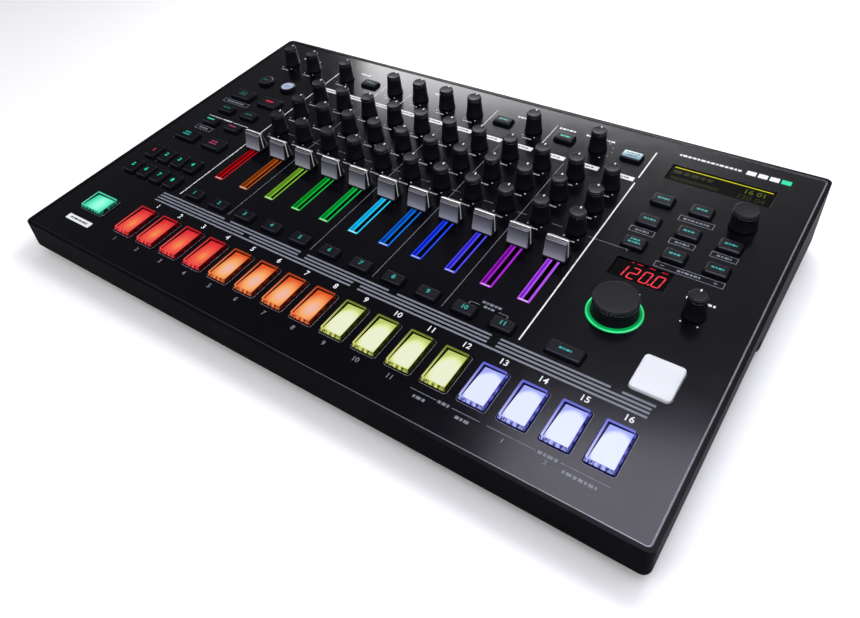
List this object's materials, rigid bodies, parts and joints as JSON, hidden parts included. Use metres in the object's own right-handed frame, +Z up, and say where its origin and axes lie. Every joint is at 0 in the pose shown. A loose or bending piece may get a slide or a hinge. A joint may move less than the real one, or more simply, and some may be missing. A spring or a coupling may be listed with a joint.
{
  "type": "drum machine",
  "caption": "Desktop drum machine: a wedge case with lit step pads, level faders in lit slots, rows of knobs, keys, a tempo dial and display windows.",
  "frame": {"origin": "on the table under the middle of the case's outline", "axes": "+X to the player's right, +Y from the player to the back, +Z up"},
  "size_m": [0.409, 0.263, 0.0592],
  "materials": {
    "case": "matte, finely textured",
    "panel": "matte dark blue-black paint",
    "feet": "matte",
    "screws": "blackened",
    "board": "green solder mask",
    "components": "matte",
    "guides": "translucent, lit from below",
    "windows": "smoked, clear gloss",
    "sockets": "satin",
    "knobs": "matte with a satin top",
    "faders": "satin",
    "pads_red": "translucent, lit red",
    "pads_orange": "translucent, lit orange",
    "pads_yellow": "translucent, lit yellow-green",
    "pads_violet": "translucent, lit pale violet",
    "pad_start": "translucent, lit mint green",
    "pad_trigger": "plain white, satin",
    "keys": "matte with lit legends"
  },
  "bodies": {
    "body": {"bottom_case": "case", "rubber_feet": "feet", "case_screws": "screws", "face_panel": "panel", "main_board": "board", "board_components": "components", "fader_tracks": "components", "light_guides": "guides", "display_windows": "windows", "rear_sockets": "sockets", "channel_knobs": "knobs"},
    "top_knob_1": {"top_knob_1": "knobs"},
    "top_knob_2": {"top_knob_2": "knobs"},
    "top_knob_3": {"top_knob_3": "knobs"},
    "top_knob_4": {"top_knob_4": "knobs"},
    "top_knob_5": {"top_knob_5": "knobs"},
    "top_knob_6": {"top_knob_6": "knobs"},
    "top_knob_7": {"top_knob_7": "knobs"},
    "top_knob_8": {"top_knob_8": "knobs"},
    "top_knob_9": {"top_knob_9": "knobs"},
    "tempo_knob": {"tempo_knob": "knobs"},
    "value_knob": {"value_knob": "knobs"},
    "shuffle_knob": {"shuffle_knob": "knobs"},
    "level_fader_01": {"level_fader_01": "faders"},
    "level_fader_02": {"level_fader_02": "faders"},
    "level_fader_03": {"level_fader_03": "faders"},
    "level_fader_04": {"level_fader_04": "faders"},
    "level_fader_05": {"level_fader_05": "faders"},
    "level_fader_06": {"level_fader_06": "faders"},
    "level_fader_07": {"level_fader_07": "faders"},
    "level_fader_08": {"level_fader_08": "faders"},
    "level_fader_09": {"level_fader_09": "faders"},
    "level_fader_10": {"level_fader_10": "faders"},
    "level_fader_11": {"level_fader_11": "faders"},
    "step_pad_01": {"step_pad_01": "pads_red"},
    "step_pad_02": {"step_pad_02": "pads_red"},
    "step_pad_03": {"step_pad_03": "pads_red"},
    "step_pad_04": {"step_pad_04": "pads_red"},
    "step_pad_05": {"step_pad_05": "pads_orange"},
    "step_pad_06": {"step_pad_06": "pads_orange"},
    "step_pad_07": {"step_pad_07": "pads_orange"},
    "step_pad_08": {"step_pad_08": "pads_orange"},
    "step_pad_09": {"step_pad_09": "pads_yellow"},
    "step_pad_10": {"step_pad_10": "pads_yellow"},
    "step_pad_11": {"step_pad_11": "pads_yellow"},
    "step_pad_12": {"step_pad_12": "pads_yellow"},
    "step_pad_13": {"step_pad_13": "pads_violet"},
    "step_pad_14": {"step_pad_14": "pads_violet"},
    "step_pad_15": {"step_pad_15": "pads_violet"},
    "step_pad_16": {"step_pad_16": "pads_violet"},
    "start_stop_pad": {"start_stop_pad": "pad_start"},
    "trigger_pad": {"trigger_pad": "pad_trigger"},
    "round_keys": {"round_keys": "keys"},
    "function_keys": {"function_keys": "keys"},
    "variation_keys": {"variation_keys": "keys"},
    "instrument_keys": {"instrument_keys": "keys"},
    "effect_keys": {"effect_keys": "keys"},
    "edit_keys": {"edit_keys": "keys"},
    "mute_key": {"mute_key": "keys"},
    "power_switch": {"power_switch": "keys"}
  },
  "joints": [
    {"name": "top_knob_1_turn", "type": "hinge", "parent": "body", "child": "top_knob_1", "pos_m": [-0.177, 0.101, 0.05187], "axis": [0, -0.0872, 0.9962], "range_deg": [-150, 150]},
    {"name": "top_knob_2_turn", "type": "hinge", "parent": "body", "child": "top_knob_2", "pos_m": [-0.1552, 0.101, 0.05187], "axis": [0, -0.0872, 0.9962], "range_deg": [-150, 150]},
    {"name": "top_knob_3_turn", "type": "hinge", "parent": "body", "child": "top_knob_3", "pos_m": [-0.123, 0.101, 0.05187], "axis": [0, -0.0872, 0.9962], "range_deg": [-150, 150]},
    {"name": "top_knob_4_turn", "type": "hinge", "parent": "body", "child": "top_knob_4", "pos_m": [-0.07864, 0.101, 0.05187], "axis": [0, -0.0872, 0.9962], "range_deg": [-150, 150]},
    {"name": "top_knob_5_turn", "type": "hinge", "parent": "body", "child": "top_knob_5", "pos_m": [-0.05646, 0.101, 0.05187], "axis": [0, -0.0872, 0.9962], "range_deg": [-150, 150]},
    {"name": "top_knob_6_turn", "type": "hinge", "parent": "body", "child": "top_knob_6", "pos_m": [-0.03428, 0.101, 0.05187], "axis": [0, -0.0872, 0.9962], "range_deg": [-150, 150]},
    {"name": "top_knob_7_turn", "type": "hinge", "parent": "body", "child": "top_knob_7", "pos_m": [-0.0121, 0.101, 0.05187], "axis": [0, -0.0872, 0.9962], "range_deg": [-150, 150]},
    {"name": "top_knob_8_turn", "type": "hinge", "parent": "body", "child": "top_knob_8", "pos_m": [0.03226, 0.101, 0.05187], "axis": [0, -0.0872, 0.9962], "range_deg": [-150, 150]},
    {"name": "top_knob_9_turn", "type": "hinge", "parent": "body", "child": "top_knob_9", "pos_m": [0.07662, 0.101, 0.05187], "axis": [0, -0.0872, 0.9962], "range_deg": [-150, 150]},
    {"name": "tempo_turn", "type": "hinge", "parent": "body", "child": "tempo_knob", "pos_m": [0.1412, -0.02237, 0.03932], "axis": [0, -0.0872, 0.9962], "continuous": true},
    {"name": "value_turn", "type": "hinge", "parent": "body", "child": "value_knob", "pos_m": [0.174, 0.06963, 0.04787], "axis": [0, -0.0872, 0.9962], "continuous": true},
    {"name": "shuffle_turn", "type": "hinge", "parent": "body", "child": "shuffle_knob", "pos_m": [0.1745, -0.00558, 0.04239], "axis": [0, -0.0872, 0.9962], "range_deg": [-150, 150]},
    {"name": "level_01_slide", "type": "slide", "parent": "body", "child": "level_fader_01", "axis": [0, 0.9962, 0.0872], "range_m": [-0.035, 0.005]},
    {"name": "level_02_slide", "type": "slide", "parent": "body", "child": "level_fader_02", "axis": [0, 0.9962, 0.0872], "range_m": [-0.035, 0.005]},
    {"name": "level_03_slide", "type": "slide", "parent": "body", "child": "level_fader_03", "axis": [0, 0.9962, 0.0872], "range_m": [-0.035, 0.005]},
    {"name": "level_04_slide", "type": "slide", "parent": "body", "child": "level_fader_04", "axis": [0, 0.9962, 0.0872], "range_m": [-0.035, 0.005]},
    {"name": "level_05_slide", "type": "slide", "parent": "body", "child": "level_fader_05", "axis": [0, 0.9962, 0.0872], "range_m": [-0.035, 0.005]},
    {"name": "level_06_slide", "type": "slide", "parent": "body", "child": "level_fader_06", "axis": [0, 0.9962, 0.0872], "range_m": [-0.035, 0.005]},
    {"name": "level_07_slide", "type": "slide", "parent": "body", "child": "level_fader_07", "axis": [0, 0.9962, 0.0872], "range_m": [-0.035, 0.005]},
    {"name": "level_08_slide", "type": "slide", "parent": "body", "child": "level_fader_08", "axis": [0, 0.9962, 0.0872], "range_m": [-0.035, 0.005]},
    {"name": "level_09_slide", "type": "slide", "parent": "body", "child": "level_fader_09", "axis": [0, 0.9962, 0.0872], "range_m": [-0.035, 0.005]},
    {"name": "level_10_slide", "type": "slide", "parent": "body", "child": "level_fader_10", "axis": [0, 0.9962, 0.0872], "range_m": [-0.035, 0.005]},
    {"name": "level_11_slide", "type": "slide", "parent": "body", "child": "level_fader_11", "axis": [0, 0.9962, 0.0872], "range_m": [-0.035, 0.005]},
    {"name": "step_01_press", "type": "slide", "parent": "body", "child": "step_pad_01", "axis": [0, 0.0872, -0.9962], "range_m": [0, 0.0012], "stiffness_N_per_m": 200, "springref_m": -0.003},
    {"name": "step_02_press", "type": "slide", "parent": "body", "child": "step_pad_02", "axis": [0, 0.0872, -0.9962], "range_m": [0, 0.0012], "stiffness_N_per_m": 200, "springref_m": -0.003},
    {"name": "step_03_press", "type": "slide", "parent": "body", "child": "step_pad_03", "axis": [0, 0.0872, -0.9962], "range_m": [0, 0.0012], "stiffness_N_per_m": 200, "springref_m": -0.003},
    {"name": "step_04_press", "type": "slide", "parent": "body", "child": "step_pad_04", "axis": [0, 0.0872, -0.9962], "range_m": [0, 0.0012], "stiffness_N_per_m": 200, "springref_m": -0.003},
    {"name": "step_05_press", "type": "slide", "parent": "body", "child": "step_pad_05", "axis": [0, 0.0872, -0.9962], "range_m": [0, 0.0012], "stiffness_N_per_m": 200, "springref_m": -0.003},
    {"name": "step_06_press", "type": "slide", "parent": "body", "child": "step_pad_06", "axis": [0, 0.0872, -0.9962], "range_m": [0, 0.0012], "stiffness_N_per_m": 200, "springref_m": -0.003},
    {"name": "step_07_press", "type": "slide", "parent": "body", "child": "step_pad_07", "axis": [0, 0.0872, -0.9962], "range_m": [0, 0.0012], "stiffness_N_per_m": 200, "springref_m": -0.003},
    {"name": "step_08_press", "type": "slide", "parent": "body", "child": "step_pad_08", "axis": [0, 0.0872, -0.9962], "range_m": [0, 0.0012], "stiffness_N_per_m": 200, "springref_m": -0.003},
    {"name": "step_09_press", "type": "slide", "parent": "body", "child": "step_pad_09", "axis": [0, 0.0872, -0.9962], "range_m": [0, 0.0012], "stiffness_N_per_m": 200, "springref_m": -0.003},
    {"name": "step_10_press", "type": "slide", "parent": "body", "child": "step_pad_10", "axis": [0, 0.0872, -0.9962], "range_m": [0, 0.0012], "stiffness_N_per_m": 200, "springref_m": -0.003},
    {"name": "step_11_press", "type": "slide", "parent": "body", "child": "step_pad_11", "axis": [0, 0.0872, -0.9962], "range_m": [0, 0.0012], "stiffness_N_per_m": 200, "springref_m": -0.003},
    {"name": "step_12_press", "type": "slide", "parent": "body", "child": "step_pad_12", "axis": [0, 0.0872, -0.9962], "range_m": [0, 0.0012], "stiffness_N_per_m": 200, "springref_m": -0.003},
    {"name": "step_13_press", "type": "slide", "parent": "body", "child": "step_pad_13", "axis": [0, 0.0872, -0.9962], "range_m": [0, 0.0012], "stiffness_N_per_m": 200, "springref_m": -0.003},
    {"name": "step_14_press", "type": "slide", "parent": "body", "child": "step_pad_14", "axis": [0, 0.0872, -0.9962], "range_m": [0, 0.0012], "stiffness_N_per_m": 200, "springref_m": -0.003},
    {"name": "step_15_press", "type": "slide", "parent": "body", "child": "step_pad_15", "axis": [0, 0.0872, -0.9962], "range_m": [0, 0.0012], "stiffness_N_per_m": 200, "springref_m": -0.003},
    {"name": "step_16_press", "type": "slide", "parent": "body", "child": "step_pad_16", "axis": [0, 0.0872, -0.9962], "range_m": [0, 0.0012], "stiffness_N_per_m": 200, "springref_m": -0.003},
    {"name": "start_stop_press", "type": "slide", "parent": "body", "child": "start_stop_pad", "axis": [0, 0.0872, -0.9962], "range_m": [0, 0.0012], "stiffness_N_per_m": 200, "springref_m": -0.003},
    {"name": "trigger_press", "type": "slide", "parent": "body", "child": "trigger_pad", "axis": [0, 0.0872, -0.9962], "range_m": [0, 0.0012], "stiffness_N_per_m": 200, "springref_m": -0.003},
    {"name": "round_keys_press", "type": "slide", "parent": "body", "child": "round_keys", "axis": [0, 0.0872, -0.9962], "range_m": [0, 0.0008], "stiffness_N_per_m": 100, "springref_m": -0.003},
    {"name": "function_keys_press", "type": "slide", "parent": "body", "child": "function_keys", "axis": [0, 0.0872, -0.9962], "range_m": [0, 0.0008], "stiffness_N_per_m": 200, "springref_m": -0.003},
    {"name": "variation_keys_press", "type": "slide", "parent": "body", "child": "variation_keys", "axis": [0, 0.0872, -0.9962], "range_m": [0, 0.0008], "stiffness_N_per_m": 200, "springref_m": -0.003},
    {"name": "instrument_keys_press", "type": "slide", "parent": "body", "child": "instrument_keys", "axis": [0, 0.0872, -0.9962], "range_m": [0, 0.0008], "stiffness_N_per_m": 200, "springref_m": -0.003},
    {"name": "effect_keys_press", "type": "slide", "parent": "body", "child": "effect_keys", "axis": [0, 0.0872, -0.9962], "range_m": [0, 0.0008], "stiffness_N_per_m": 100, "springref_m": -0.003},
    {"name": "edit_keys_press", "type": "slide", "parent": "body", "child": "edit_keys", "axis": [0, 0.0872, -0.9962], "range_m": [0, 0.0008], "stiffness_N_per_m": 200, "springref_m": -0.003},
    {"name": "mute_key_press", "type": "slide", "parent": "body", "child": "mute_key", "axis": [0, 0.0872, -0.9962], "range_m": [0, 0.0008], "stiffness_N_per_m": 100, "springref_m": -0.003},
    {"name": "power_press", "type": "slide", "parent": "body", "child": "power_switch", "axis": [0, -1, 0], "range_m": [0, 0.0015], "stiffness_N_per_m": 100, "springref_m": -0.003}
  ]
}
